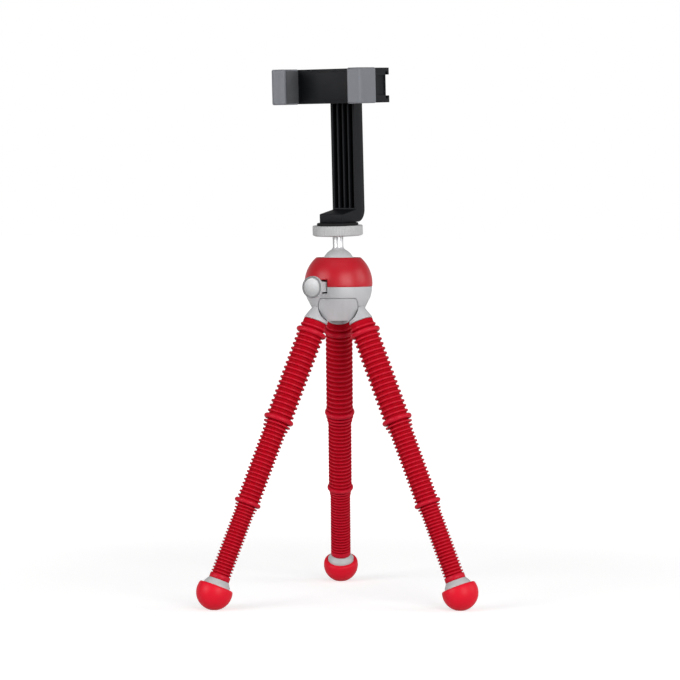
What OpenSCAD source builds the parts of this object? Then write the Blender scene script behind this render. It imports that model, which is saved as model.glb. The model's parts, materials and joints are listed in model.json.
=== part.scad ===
// Tabletop tripod: three flexible ribbed legs, a locking ball head and a sprung phone clamp.
// Z is up and the soles of the feet lie on z = 0. The origin is the middle of the footprint's box,
// so the hub's upright axis stands at x = hub_x. The legs point along azimuth 0, 120 and 240 degrees,
// the lock knob and the phone clamp face -Y, and the sliding jaw opens along -X.
// A length along a leg is counted from the hip joint down, and is called s.

/* [Legs] */
// Angle of each leg from upright
leg_splay = 23.2; // [18:0.2:28]
// Radius of the circle through the three hip joints
hip_circle_r = 17.2; // [16.5:0.1:19]
// Distance from the hip joint down to the top bead
cuff_l = 5; // [4.4:0.1:7]
// Diameter of the cuff's ring under the shoulder
cuff_d = 16; // [15:0.1:17]
// Length of the cuff's ring
cuff_ring_l = 3.4; // [2:0.1:4]
// Diameter of the cuff's waist under the ring
cuff_waist_d = 14; // [13.4:0.1:14.8]
// Diameter of the top bead
bead_d = 19.6; // [18.4:0.1:20]
// Width of the top bead
bead_w = 3.2; // [2:0.1:3.4]
// Diameter of the collar between the upper and the middle sleeve
upper_collar_d = 19.5; // [18.4:0.1:22]
// Width of that collar
upper_collar_w = 3.2; // [2:0.1:5]
// Diameter of the collar between the middle and the lower sleeve
lower_collar_d = 17.2; // [16.4:0.1:20]
// Width of that collar
lower_collar_w = 2.8; // [2:0.1:5]
// Length of the plain band at the lower end
band_l = 3.2; // [2:0.1:6]
// Diameter of the plain band
band_d = 13.2; // [12:0.1:15]

/* [Ribs] */
// Number of ribs on the upper sleeve
upper_ribs = 17; // [13:1:20]
// Distance from rib to rib on the upper sleeve
upper_pitch = 3.235; // [3:0.005:4]
// Thickness of a rib on the upper sleeve
upper_rib_w = 1.4; // [1:0.05:1.5]
// Diameter over the ribs of the upper sleeve
upper_d = 17.6; // [17:0.1:18.4]
// Number of ribs on the middle sleeve
middle_ribs = 20; // [14:1:22]
// Distance from rib to rib on the middle sleeve
middle_pitch = 2.62; // [2.5:0.005:3.4]
// Thickness of a rib on the middle sleeve
middle_rib_w = 1.15; // [0.8:0.05:1.2]
// Diameter over the ribs of the middle sleeve
middle_d = 15.4; // [14.6:0.1:16]
// Number of ribs on the lower sleeve
lower_ribs = 22; // [15:1:24]
// Distance from rib to rib on the lower sleeve
lower_pitch = 2.1; // [2:0.005:2.8]
// Thickness of a rib on the lower sleeve
lower_rib_w = 0.95; // [0.7:0.05:1]
// Diameter over the ribs of the lower sleeve
lower_d = 13.3; // [12.8:0.1:14]
// Depth of the grooves between the upper ribs
upper_rib_depth = 1.45; // [1:0.05:1.5]
// Depth of the grooves between the middle ribs
middle_rib_depth = 1.3; // [0.8:0.05:1.4]
// Depth of the grooves between the lower ribs
lower_rib_depth = 1.15; // [0.8:0.05:1.2]
// Distance from a collar's edge to the nearest rib, in rib pitches
rib_lead = 0.65; // [0.6:0.05:0.9]
// How much larger each of the first two ribs under the upper collar is than the next
middle_fade = 0.6; // [0:0.05:0.8]
// The same under the lower collar
lower_fade = 0.35; // [0:0.05:0.6]

/* [Core links] */
// Diameter of the core inside the upper sleeve
upper_core_d = 12; // [11.4:0.1:12.2]
// Diameter of the core inside the middle sleeve
middle_core_d = 10; // [9.4:0.1:10.2]
// Diameter of the core inside the lower sleeve
lower_core_d = 8.2; // [7.8:0.1:8.4]
// Diameter of the hip socket's cup
hip_cup_d = 10.8; // [10:0.1:11]
// Diameter of the hip ball
hip_ball_d = 7.6; // [7:0.1:8]
// Diameter of the ball joint in the upper sleeve
upper_ball_d = 8.4; // [7.8:0.1:8.8]
// Diameter of the ball joint in the middle sleeve
middle_ball_d = 6.8; // [6.2:0.1:7.2]
// Diameter of the ball joint in the lower sleeve
lower_ball_d = 5.6; // [5.2:0.1:5.8]
// Radial clearance of a ball in its socket
ball_fit = 0.12; // [0.08:0.01:0.16]
// Radial clearance of a core in its sleeve
core_fit = 0.15; // [0.1:0.01:0.25]

/* [Feet] */
// Diameter of the ball foot
foot_d = 22.92; // [20:0.02:26]
// Depth of the flat on the sole
sole_depth = 0.4; // [0.2:0.1:1]
// Height of the foot's rim above the ball's middle, along the leg
foot_rim = 3.6; // [2.5:0.1:4.5]
// Height of the cone ring over the foot's rim
ring_h = 4.5; // [3.5:0.1:6]
// Diameter of the cone ring at the foot
ring_d = 17; // [15.6:0.1:18]
// Diameter of the stud that carries the foot
stud_d = 6; // [5:0.1:6.6]

/* [Head] */
// Diameter of the red dome
head_d = 43.4; // [42.4:0.2:46]
// Height of the dome's middle over the hip joints
head_rise = 25.1; // [24.4:0.1:28]
// Height of the dome's flat top over its middle
dome_top = 16.5; // [15.8:0.1:16.8]
// Depth of the seam under the dome below its middle
dome_seam = 2; // [1.6:0.1:2.4]
// Diameter of the grey bowl under the dome
bowl_d = 42.8; // [42:0.1:43.2]
// Depth of the bowl's middle below the dome's middle
bowl_drop = 2.3; // [2:0.1:3.4]
// Depth of the seam between the bowl and the yoke below the dome's middle
yoke_seam = 14.3; // [13.6:0.1:15]
// Depth of the yoke's underside below the dome's middle
yoke_base = 23.6; // [22.8:0.1:24]
// Diameter of a shoulder at its rim
shoulder_d = 15.3; // [14.4:0.1:16]
// Diameter of a shoulder at its root
shoulder_root_d = 8.6; // [8:0.1:10]
// Length of a shoulder along the leg
shoulder_l = 10; // [9:0.1:11]
// Height of a shoulder's rim over the hip joint
shoulder_rise = 1.2; // [0.8:0.1:1.6]
// Width of a panel
panel_w = 24.8; // [22:0.2:25]
// Radius of a panel's round sides
panel_round = 10.6; // [8:0.1:11]
// Depth of a panel's widest place below its top edge
panel_widest = 5; // [4:0.1:6]
// Height of a panel's top edge over the yoke seam
panel_rise = 5; // [4:0.1:6]
// Lean of a panel's face from upright
panel_lean = 26.6; // [24:0.2:29]
// Thickness of a panel
panel_t = 1.5; // [1:0.1:2]
// Gap round a panel
panel_gap = 0.3; // [0.2:0.05:0.5]

/* [Ball and knob] */
// Diameter of the head's ball
ball_d = 20.5; // [19.5:0.1:21]
// Height of the ball's middle over the dome's middle
ball_rise = 12.2; // [11.6:0.1:12.6]
// Forward lean of the ball, the wheel and the phone holder
head_lean = 2.5; // [0:0.5:6]
// Diameter of the ball's stem
stem_d = 6.8; // [6:0.1:8]
// Diameter of the seat under the ball
seat_d = 25.8; // [25:0.1:27]
// Diameter of the lock knob
knob_d = 14; // [12:0.2:17]
// Thickness of the lock knob
knob_t = 3.4; // [2.8:0.1:5]
// Distance of the knob's face from the hub's axis
knob_reach = 32.8; // [30.6:0.1:35]
// Height of the knob's axis above the dome seam
knob_rise = 0.2; // [0:0.1:0.6]
// Diameter of the metal face in the knob
knob_face_d = 12.4; // [10:0.1:12.6]
// Diameter of the lock screw
lock_d = 3; // [2.5:0.1:4]
// Width of the square boss behind the knob
boss_w = 6.4; // [6:0.1:7.4]
// Gap round the square boss
boss_gap = 1.1; // [0.6:0.1:1.4]

/* [Wheel and screw] */
// Diameter of the camera wheel
wheel_d = 32; // [28:0.2:36]
// Thickness of the wheel's rim
wheel_t = 6.6; // [6:0.1:9]
// Height of the wheel's underside over the ball's middle
wheel_rise = 18; // [16.6:0.1:20]
// Number of grip flutes round the wheel
wheel_flutes = 60; // [40:1:80]
// Depth of a grip flute
flute_depth = 0.25; // [0.1:0.05:0.4]
// Diameter of the rubber pad on the wheel
wheel_pad_d = 26.4; // [22:0.2:28]
// Thickness of the rubber pad
wheel_pad_t = 1.7; // [1:0.1:3]
// Diameter of the camera screw
camera_screw_d = 6.35; // [6:0.05:6.6]
// Length of the camera screw above the pad
camera_screw_l = 4.8; // [4:0.1:5]

/* [Bracket] */
// Width of the bracket
bracket_w = 17.7; // [16:0.1:22]
// Reach of the foot in front of the camera screw
bracket_front = 8; // [7:0.1:12]
// Reach of the bracket behind the camera screw
bracket_back = 19.6; // [17:0.1:22]
// Thickness of the arm at its bottom
arm_t = 10.8; // [9.6:0.1:13]
// Narrowing of the arm's back towards the top
arm_taper = 0.5; // [0.3:0.1:1.5]
// Height of the bracket's foot
bracket_foot_h = 7.9; // [7.4:0.1:10]
// Height of the foot at its tip
bracket_tip_h = 5.6; // [4.6:0.1:6.6]
// Height of the clamp's pivot over the bracket's underside
pivot_rise = 86.4; // [80:0.2:110]
// Radius of the bracket's rear bottom edge
bracket_round = 8; // [5:0.1:9]
// Wall of the arm's channel
arm_wall = 1.7; // [1.2:0.1:2.2]
// Thickness of a rib in the channel
arm_rib_t = 1.1; // [0.8:0.1:1.5]
// Number of ribs in the channel
arm_ribs = 3; // [1:1:4]
// Diameter of the clamp's pivot pin
pivot_d = 6; // [5:0.1:6.4]

/* [Clamp] */
// Opening between the jaw pads when closed
jaw_gap = 48; // [44:0.5:60]
// Distance of the opening's middle from the pivot, towards the fixed jaw
jaw_offset = 2.5; // [0:0.1:5]
// Height of the clamp
clamp_h = 21.8; // [21:0.1:25]
// Depth of the clamp's body
clamp_t = 17; // [15.6:0.1:20]
// Gap between the clamp's body and the arm
clamp_gap = 0.6; // [0.3:0.1:1.5]
// Depth of the jaws in front of the body
jaw_depth = 19; // [14:0.1:26]
// Width of a jaw with its pad
jaw_w = 8.8; // [7:0.1:12]
// Thickness of a jaw pad
pad_t = 1.6; // [1:0.1:2]
// How far a jaw pad's lip stands into the opening
lip = 1.2; // [0.4:0.1:2]
// How far a jaw pad stands over its jaw at the top and bottom
pad_over = 0.25; // [0.1:0.05:0.4]
// Wall of the clamp's body
clamp_wall = 2.4; // [2:0.1:2.8]
// Thickness of the plate behind the phone
plate_t = 3; // [2:0.1:4]
// Height of a slide rail
rail_h = 3.4; // [2.6:0.1:3.6]
// Travel of the sliding jaw
jaw_travel = 43; // [30:1:45]
// Gap between sliding faces
slide_gap = 0.3; // [0.2:0.05:0.4]
// Diameter of the boss round the pivot
pivot_boss_d = 9.2; // [8.4:0.1:9.4]
// Number of turns in the jaw spring
spring_turns = 12; // [8:1:16]
// Diameter of the jaw spring's wire
spring_wire = 0.7; // [0.5:0.05:0.8]
// Outer diameter of the jaw spring
spring_d = 5; // [4:0.1:6]

/* [Hidden] */
$fn = 96;
LEGS = ["right", "back", "left"];
AZIMUTHS = [0, 120, 240];
HEAD_NODES = ["leg_yoke", "hub_panels", "ball_cup", "dome", "retaining_ring", "ball_seat", "ball_stud",
    "lock_knob", "lock_screw", "camera_wheel", "wheel_pad", "bracket", "clamp_pivot", "clamp_body", "fixed_pad",
    "sliding_jaw", "sliding_pad", "jaw_spring"];
LEG_PIECES = ["cuff", "core_1", "core_2", "core_3", "core_4", "sleeve_1", "sleeve_2", "sleeve_3", "sleeve_4",
    "bend_rib_1", "bend_rib_2", "bend_rib_3", "foot_ring", "foot"];

RED = "firebrick";
GREY = "silver";
PALE = "gainsboro";
BLACK = "dimgray";
PAD = "darkgray";
STEEL = "lightgray";

// A cut that only has to reach past its solid runs on by this much
over = 1;
// Small gap that keeps two pieces of one body apart
seat_fit = 0.02;
// Running clearance of a shaft in its bore
run_fit = 0.05;
// Gap between two flat faces that turn on each other
face_gap = 0.1;
// Half angle of the mouth of a ball socket, from the joint's axis
mouth_angle = 63;
// Neck under a ball, as a share of the ball
neck_share = 0.45;
// Gap between a socket cup and the shoulder of the next core
cup_gap = 0.4;
// Gap at each end of the cuff
cuff_gap = 0.2;

// Sizes of the three sleeves, from the top
RIBS = [upper_ribs, middle_ribs, lower_ribs];
PITCH = [upper_pitch, middle_pitch, lower_pitch];
RIB_W = [upper_rib_w, middle_rib_w, lower_rib_w];
RIB_R = [upper_d / 2, middle_d / 2, lower_d / 2];
RIB_DEPTH = [upper_rib_depth, middle_rib_depth, lower_rib_depth];
FADE = [0, middle_fade, lower_fade];
CORE_R = [upper_core_d / 2, middle_core_d / 2, lower_core_d / 2];
BALL_R = [hip_ball_d / 2, upper_ball_d / 2, middle_ball_d / 2, lower_ball_d / 2];
CUP_R = [hip_cup_d / 2, CORE_R[0], CORE_R[1], CORE_R[2]];
// Number of ribs under a collar that are larger than the rest
fade_ribs = 2;

// Places along a leg
bead_s = cuff_l + bead_w / 2;
upper_s = bead_s + bead_w / 2 + rib_lead * upper_pitch;
upper_collar_s = upper_s + (upper_ribs - 1 + rib_lead) * upper_pitch + upper_collar_w / 2;
middle_s = upper_collar_s + upper_collar_w / 2 + rib_lead * middle_pitch;
lower_collar_s = middle_s + (middle_ribs - 1 + rib_lead) * middle_pitch + lower_collar_w / 2;
lower_s = lower_collar_s + lower_collar_w / 2 + rib_lead * lower_pitch;
band_s = lower_s + (lower_ribs - 1 + rib_lead) * lower_pitch;
band_end_s = band_s + band_l;
foot_rim_s = band_end_s + ring_h;
foot_s = foot_rim_s + foot_rim;
FIRST_RIB = [upper_s, middle_s, lower_s];
// The rib in each sleeve where the leg bends
BEND_RIB = [for (n = RIBS) floor(n / 2)];
// Hip and bend joints
JOINT_S = concat([0], [for (j = [0:2]) FIRST_RIB[j] + BEND_RIB[j] * PITCH[j]]);

// Places in the whole
foot_r = foot_d / 2;
foot_circle_r = hip_circle_r + foot_s * sin(leg_splay);
hub_x = -foot_circle_r / 4;
hip_z = foot_r - sole_depth + foot_s * cos(leg_splay);
head_z = hip_z + head_rise;
dome_top_z = head_z + dome_top;
dome_seam_z = head_z - dome_seam;
bowl_z = head_z - bowl_drop;
yoke_seam_z = head_z - yoke_seam;
yoke_base_z = head_z - yoke_base;
ball_z = head_z + ball_rise;
ball_r = ball_d / 2;
knob_z = dome_seam_z + knob_rise;
wheel_z = ball_z + wheel_rise;
wheel_top_z = wheel_z + wheel_t;
pad_top_z = wheel_top_z + wheel_pad_t;
bracket_z = pad_top_z + face_gap;
pivot_z = bracket_z + pivot_rise;

function rib_s(j, i) = FIRST_RIB[j] + i * PITCH[j];
function rib_r(j, i) = RIB_R[j] + max(0, fade_ribs - i) * FADE[j];
function floor_r(j) = RIB_R[j] - RIB_DEPTH[j];
function bore_r(j) = CORE_R[j] + core_fit;

echo(hub_x = hub_x, foot_circle_r = foot_circle_r, hip_z = hip_z, head_z = head_z, ball_z = ball_z);
echo(knob_z = knob_z, wheel_z = wheel_z, bracket_z = bracket_z, pivot_z = pivot_z, joints = JOINT_S);

// Frames

module at_hub() {
    translate([hub_x, 0, 0]) children();
}

// The frame of everything on the ball, which leans forward about the ball's middle
module at_head() {
    at_hub() translate([0, 0, ball_z]) rotate([head_lean, 0, 0]) translate([0, 0, -ball_z]) children();
}

// A leg's own frame: the hip joint is the origin and the leg runs down -Z
module at_leg(azimuth) {
    at_hub() rotate([0, 0, azimuth]) translate([hip_circle_r, 0, hip_z]) rotate([0, -leg_splay, 0]) children();
}

module slab(z_low, z_high, size = 200) {
    translate([-size / 2, -size / 2, z_low]) cube([size, size, z_high - z_low]);
}

// Legs

// Stretch of a sleeve's wall between two places along the leg, as a profile
module wall(r_in, r_out, s_from, s_to) {
    translate([r_in, -s_to]) square([r_out - r_in, s_to - s_from]);
}

// Rib or bead with a round edge, as a profile
module rib(r_in, r_out, s, w) {
    wall(r_in, r_out - w / 2, s - w / 2, s + w / 2);
    translate([r_out - w / 2, -s]) circle(d = w, $fn = 32);
}

// The ribs of one sleeve from rib a to rib b, on the wall that carries them
module ribs(j, a, b) {
    wall(bore_r(j), floor_r(j), rib_s(j, a) - RIB_W[j] / 2, rib_s(j, b) + RIB_W[j] / 2);
    for (i = [a:b]) rib(bore_r(j), rib_r(j, i), rib_s(j, i), RIB_W[j]);
}

// Collar between sleeve j and the next, with the wall up to the ribs on both sides
module collar(j, s, d, w) {
    wall(bore_r(j), floor_r(j), rib_s(j, RIBS[j] - 1), s);
    wall(bore_r(j + 1), floor_r(j + 1), s, rib_s(j + 1, 0));
    rib(bore_r(j), d / 2, s, w);
    wall(bore_r(j + 1), floor_r(j), s + core_fit, s + w / 2);
}

// The soft end of the skin under the shoulder, squeezed on one side when the leg swings
module cuff() {
    top_s = cuff_gap - shoulder_rise;
    color(RED) rotate_extrude() {
        wall(bore_r(0), cuff_d / 2, top_s, top_s + cuff_ring_l);
        wall(bore_r(0), cuff_waist_d / 2, top_s, cuff_l - cuff_gap);
    }
}

module sleeve_1() {
    color(RED) rotate_extrude() {
        rib(bore_r(0), bead_d / 2, bead_s, bead_w);
        wall(bore_r(0), floor_r(0), bead_s, upper_s);
        ribs(0, 0, BEND_RIB[0] - 1);
    }
}

module sleeve_2() {
    color(RED) rotate_extrude() {
        ribs(0, BEND_RIB[0] + 1, upper_ribs - 1);
        collar(0, upper_collar_s, upper_collar_d, upper_collar_w);
        ribs(1, 0, BEND_RIB[1] - 1);
    }
}

module sleeve_3() {
    color(RED) rotate_extrude() {
        ribs(1, BEND_RIB[1] + 1, middle_ribs - 1);
        collar(1, lower_collar_s, lower_collar_d, lower_collar_w);
        ribs(2, 0, BEND_RIB[2] - 1);
    }
}

module sleeve_4() {
    color(RED) rotate_extrude() {
        ribs(2, BEND_RIB[2] + 1, lower_ribs - 1);
        wall(bore_r(2), floor_r(2), rib_s(2, lower_ribs - 1), band_s);
        wall(bore_r(2), band_d / 2, band_s, band_end_s);
    }
}

// The soft rib over a bend joint, squeezed by its neighbours when the leg bends
module bend_rib(j) {
    color(RED) rotate_extrude() rib(bore_r(j), RIB_R[j], JOINT_S[j + 1], RIB_W[j]);
}

// Ball on its neck at joint k, and the neck down into the barrel that begins at place s
module ball_neck(k, s) {
    translate([0, 0, -JOINT_S[k]]) sphere(r = BALL_R[k]);
    translate([0, 0, -s - over]) cylinder(r = neck_share * BALL_R[k], h = s + over - JOINT_S[k]);
}

// Core barrel that ends in the cup of the socket at joint k
module socket_barrel(k, r_top, s_top, s_step) {
    r_cup = CUP_R[k];
    r_socket = BALL_R[k] + ball_fit;
    mouth_s = JOINT_S[k] + r_socket * cos(mouth_angle);
    difference() {
        union() {
            translate([0, 0, -s_step]) cylinder(r = r_top, h = s_step - s_top);
            translate([0, 0, -JOINT_S[k]]) cylinder(r = r_cup, h = JOINT_S[k] - s_top);
            intersection() {
                translate([0, 0, -JOINT_S[k]]) sphere(r = r_cup);
                translate([0, 0, -mouth_s]) cylinder(r = r_cup + over, h = r_cup);
            }
        }
        translate([0, 0, -JOINT_S[k]]) sphere(r = r_socket);
    }
}

// Place where the barrel of the core under joint k begins
function barrel_s(k) = JOINT_S[k] + CUP_R[k] + cup_gap;

module core_1() {
    color(BLACK) {
        ball_neck(0, barrel_s(0));
        socket_barrel(1, CORE_R[0], barrel_s(0), JOINT_S[1]);
    }
}

module core_2() {
    color(BLACK) {
        ball_neck(1, barrel_s(1));
        socket_barrel(2, CORE_R[0], barrel_s(1), upper_collar_s);
    }
}

module core_3() {
    color(BLACK) {
        ball_neck(2, barrel_s(2));
        socket_barrel(3, CORE_R[1], barrel_s(2), lower_collar_s);
    }
}

// The last core ends in the stud that carries the foot
module core_4() {
    color(BLACK) {
        ball_neck(3, barrel_s(3));
        translate([0, 0, -band_end_s]) cylinder(r = CORE_R[2], h = band_end_s - barrel_s(3));
        translate([0, 0, -foot_s]) cylinder(d = stud_d, h = foot_s - band_end_s);
    }
}

// Depth of the ring's seat in the foot
ring_seat = 0.8;

module foot_ring() {
    r = stud_d / 2 + seat_fit;
    edge_s = foot_rim_s - 0.35 * ring_h;
    color(PALE) rotate_extrude() polygon([[r, -band_end_s], [band_d / 2, -band_end_s], [ring_d / 2, -edge_s],
        [ring_d / 2, -foot_rim_s - ring_seat], [r, -foot_rim_s - ring_seat]]);
}

// Ball foot with a soft rim, a seat for the ring and a blind bore for the stud
module foot_ball() {
    crown_r = 1.4 * foot_r;
    translate([0, 0, -foot_s]) difference() {
        intersection() {
            sphere(r = foot_r);
            translate([0, 0, foot_rim + 0.5 - crown_r]) sphere(r = crown_r);
        }
        translate([0, 0, foot_rim - ring_seat]) cylinder(r = ring_d / 2 + seat_fit, h = foot_r);
        translate([0, 0, -seat_fit]) cylinder(r = stud_d / 2 + seat_fit, h = foot_r);
    }
}

module foot(azimuth) {
    color(RED) difference() {
        at_leg(azimuth) foot_ball();
        slab(-foot_r, 0, 6 * foot_circle_r);
    }
}

module leg_piece(piece) {
    if (piece == "cuff") cuff();
    if (piece == "core_1") core_1();
    if (piece == "core_2") core_2();
    if (piece == "core_3") core_3();
    if (piece == "core_4") core_4();
    if (piece == "sleeve_1") sleeve_1();
    if (piece == "sleeve_2") sleeve_2();
    if (piece == "sleeve_3") sleeve_3();
    if (piece == "sleeve_4") sleeve_4();
    if (piece == "bend_rib_1") bend_rib(0);
    if (piece == "bend_rib_2") bend_rib(1);
    if (piece == "bend_rib_3") bend_rib(2);
    if (piece == "foot_ring") foot_ring();
}

// Hub and head

// Azimuth of each panel, between two legs
PANELS = [60, 180, 300];

// Cone that runs out of the hub along a leg, with a narrow flat round its rim
module shoulder() {
    rim = shoulder_d / 2;
    edge = 0.35;
    root = shoulder_root_d / 2;
    translate([0, 0, shoulder_rise]) rotate_extrude()
        polygon([[0, 0], [rim - edge, 0], [rim, edge], [rim, 2 * edge], [root, shoulder_l], [0, shoulder_l]]);
}

// Hip cup that hangs from a shoulder, down to the mouth of its socket
module hip_cup() {
    r_socket = BALL_R[0] + ball_fit;
    intersection() {
        sphere(d = hip_cup_d);
        translate([0, 0, -r_socket * cos(mouth_angle)]) cylinder(d = hip_cup_d + over, h = hip_cup_d);
    }
    cylinder(d = hip_cup_d, h = shoulder_rise + over);
}

// Outline of a panel, seen along its azimuth; z is counted from the panel's top edge
panel_top_z = yoke_seam_z + panel_rise;
panel_h = panel_top_z - yoke_base_z;
module panel_outline(grow) {
    half = panel_w / 2;
    side_x = half - panel_round;
    r = panel_round + grow;
    intersection() {
        union() {
            for (side = [-1, 1]) translate([side * side_x, -panel_widest]) circle(r = r);
            translate([-side_x, -panel_widest - r]) square([2 * side_x, 2 * r]);
        }
        translate([-half - over, -panel_h - grow]) square([panel_w + 2 * over, panel_h + 2 * grow]);
    }
}

module panel_block(azimuth, grow) {
    rotate([0, 0, azimuth]) translate([0, 0, panel_top_z]) rotate([90, 0, 90])
        linear_extrude(bowl_d) panel_outline(grow);
}

// The cone that the panels' outer faces lie on, less a depth. It meets the bowl at a panel's top edge.
panel_top_r = sqrt(pow(bowl_d / 2, 2) - pow(bowl_z - panel_top_z, 2));
module panel_cone(depth) {
    h = panel_h + 2 * over;
    r_high = panel_top_r + over * tan(panel_lean) - depth / cos(panel_lean);
    translate([0, 0, yoke_base_z - over]) cylinder(r1 = r_high - h * tan(panel_lean), r2 = r_high, h = h);
}

// Everything that a panel's recess takes out of the hub
module panel_recesses() {
    for (azimuth = PANELS) difference() {
        panel_block(azimuth, panel_gap);
        panel_cone(panel_t + panel_gap);
    }
}

module leg_yoke() {
    color(GREY) at_hub() difference() {
        union() {
            intersection() {
                panel_cone(panel_t + panel_gap);
                slab(yoke_base_z, yoke_seam_z);
            }
            intersection() {
                for (azimuth = AZIMUTHS) rotate([0, 0, azimuth]) translate([hip_circle_r, 0, hip_z])
                    rotate([0, -leg_splay, 0]) difference() {
                        union() {
                            shoulder();
                            hip_cup();
                        }
                        sphere(r = BALL_R[0] + ball_fit);
                    }
                slab(hip_z - head_d, yoke_seam_z);
            }
        }
        panel_recesses();
    }
}

module hub_panels() {
    color(GREY) at_hub() for (azimuth = PANELS) intersection() {
        panel_block(azimuth, 0);
        difference() {
            panel_cone(0);
            panel_cone(panel_t);
        }
    }
}

// Spigot that centres the dome, with a roof over the lock screw, and the pocket under the ball's seat
lock_roof = 0.7;
spigot_h = knob_rise + lock_d / 2 + lock_roof;
pocket_r = 6;
pocket_depth = 3.2;
dome_bore_r = seat_d / 2 + run_fit;
seat_z = dome_seam_z + spigot_h + face_gap;

// Square boss behind the knob, with a root that runs in under the ball's seat
boss_reach = knob_reach - knob_t - face_gap;
module knob_boss() {
    low_z = knob_z - boss_w / 2;
    translate([-boss_w / 2, -boss_reach, low_z]) cube([boss_w, boss_reach - dome_bore_r - slide_gap, boss_w]);
    translate([-boss_w / 2, -boss_reach, low_z])
        cube([boss_w, boss_reach - pocket_r - over, dome_seam_z + spigot_h - low_z]);
}

module lock_bore(r, reach) {
    translate([0, 0, knob_z]) rotate([90, 0, 0]) cylinder(r = r, h = reach);
}

// Window in the shell round the boss, through to the ball's bore
module boss_window() {
    w = boss_w + 2 * boss_gap;
    translate([-w / 2, -head_d, knob_z - w / 2]) cube([w, head_d - dome_bore_r + over, w]);
}

module ball_cup() {
    color(GREY) at_hub() difference() {
        union() {
            difference() {
                intersection() {
                    translate([0, 0, bowl_z]) sphere(d = bowl_d);
                    slab(yoke_seam_z, dome_seam_z);
                }
                boss_window();
            }
            translate([0, 0, dome_seam_z - over]) cylinder(d = seat_d, h = spigot_h + over);
            knob_boss();
        }
        panel_recesses();
        translate([0, 0, dome_seam_z - pocket_depth])
            cylinder(r = pocket_r, h = pocket_depth + spigot_h + over);
        lock_bore(lock_d / 2 + run_fit, 2 * head_d);
    }
}

// Lower edge of the retaining ring
ring_z = ball_z - 0.2;

module dome() {
    color(RED) at_hub() difference() {
        intersection() {
            translate([0, 0, head_z]) sphere(d = head_d);
            slab(dome_seam_z, dome_top_z);
        }
        translate([0, 0, dome_seam_z - over]) cylinder(r = dome_bore_r, h = head_d);
        boss_window();
    }
}

// Keeps the ball down: a ring pressed into the dome's bore and hollowed to the ball
module retaining_ring() {
    lip_z = dome_top_z - face_gap;
    color(PALE) at_hub() difference() {
        translate([0, 0, ring_z]) cylinder(r = dome_bore_r - seat_fit, h = lip_z - ring_z);
        translate([0, 0, ball_z]) sphere(r = ball_r + ball_fit);
    }
}

// Cup that carries the ball. The lock screw lifts its cone and grips the ball.
seat_cone_h = 4.6;
seat_rim_z = ball_z - 1.6;
module ball_seat() {
    color(PALE) at_hub() difference() {
        union() {
            translate([0, 0, seat_z]) cylinder(d = seat_d, h = seat_rim_z - seat_z);
            translate([0, 0, seat_z - seat_cone_h]) cylinder(r1 = 1.2, r2 = 4.6, h = seat_cone_h);
        }
        translate([0, 0, ball_z]) sphere(r = ball_r + ball_fit);
    }
}

// Fillet of the stem where it leaves the ball, and the height where the stem steps down to the camera screw
stem_root_r = 4.4;
stem_top_z = wheel_z + wheel_t / 2;

// Ball, stem and camera screw, turned in one piece
module ball_stud() {
    color(STEEL) at_head() {
        translate([0, 0, ball_z]) sphere(d = ball_d);
        translate([0, 0, ball_z]) cylinder(d = stem_d, h = stem_top_z - ball_z);
        translate([0, 0, ball_z + ball_r - over]) cylinder(r1 = stem_root_r, r2 = stem_d / 2, h = 1.4 * over);
        translate([0, 0, stem_top_z - over])
            cylinder(d = camera_screw_d, h = pad_top_z + camera_screw_l + over - stem_top_z);
    }
}

// Knurl notches round the knob, and the recess for the screw's face
knob_notches = 24;
knob_face_depth = 1.2;
module lock_knob() {
    notch_r = 0.45;
    color(GREY) at_hub() translate([0, -boss_reach - face_gap, knob_z]) rotate([90, 0, 0]) difference() {
        rotate_extrude() polygon([[lock_d / 2 + seat_fit, 0], [knob_d / 2 - 0.8, 0], [knob_d / 2, 0.8],
            [knob_d / 2, knob_t - 0.6], [knob_d / 2 - 0.6, knob_t], [lock_d / 2 + seat_fit, knob_t]]);
        translate([0, 0, knob_t - knob_face_depth]) cylinder(d = knob_face_d + 2 * seat_fit, h = knob_t);
        for (i = [1:knob_notches]) rotate([0, 0, i * 360 / knob_notches])
            translate([knob_d / 2 + 0.2, 0, -over]) cylinder(r = notch_r, h = knob_t + 2 * over, $fn = 24);
    }
}

// Screw with a broad round face that shows in the knob, and a cone at its inner end
module lock_screw() {
    tip = 2.2;
    tip_y = 4.2;
    color(STEEL) at_hub() translate([0, 0, knob_z]) rotate([90, 0, 0]) {
        translate([0, 0, knob_reach - knob_face_depth])
            cylinder(d = knob_face_d, h = knob_face_depth - face_gap);
        translate([0, 0, tip_y + tip]) cylinder(d = lock_d, h = knob_reach - knob_face_depth - tip_y - tip);
        translate([0, 0, tip_y]) cylinder(r1 = 0.6, r2 = lock_d / 2, h = tip);
    }
}

// Wheel, screw and bracket

module camera_wheel() {
    flutes = [for (i = [0:2 * wheel_flutes - 1])
        (wheel_d / 2 - (i % 2) * flute_depth) * [cos(i * 180 / wheel_flutes), sin(i * 180 / wheel_flutes)]];
    bevel = 0.8;
    dish = 0.5;
    hub_r = stem_d / 2 + 3;
    r = wheel_d / 2;
    color(PALE) at_head() translate([0, 0, wheel_z]) difference() {
        intersection() {
            translate([0, 0, -dish]) linear_extrude(wheel_t + dish) polygon(flutes);
            rotate_extrude() polygon([[0, -dish], [hub_r, -dish], [r - 2 * bevel, 0],
                [r - bevel / 2, bevel / 2], [r + bevel / 2, 2 * bevel], [r + bevel / 2, wheel_t - bevel],
                [r - bevel / 2, wheel_t], [0, wheel_t]]);
        }
        translate([0, 0, -2 * dish]) cylinder(r = stem_d / 2 + run_fit, h = wheel_t + 3 * dish);
    }
}

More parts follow.
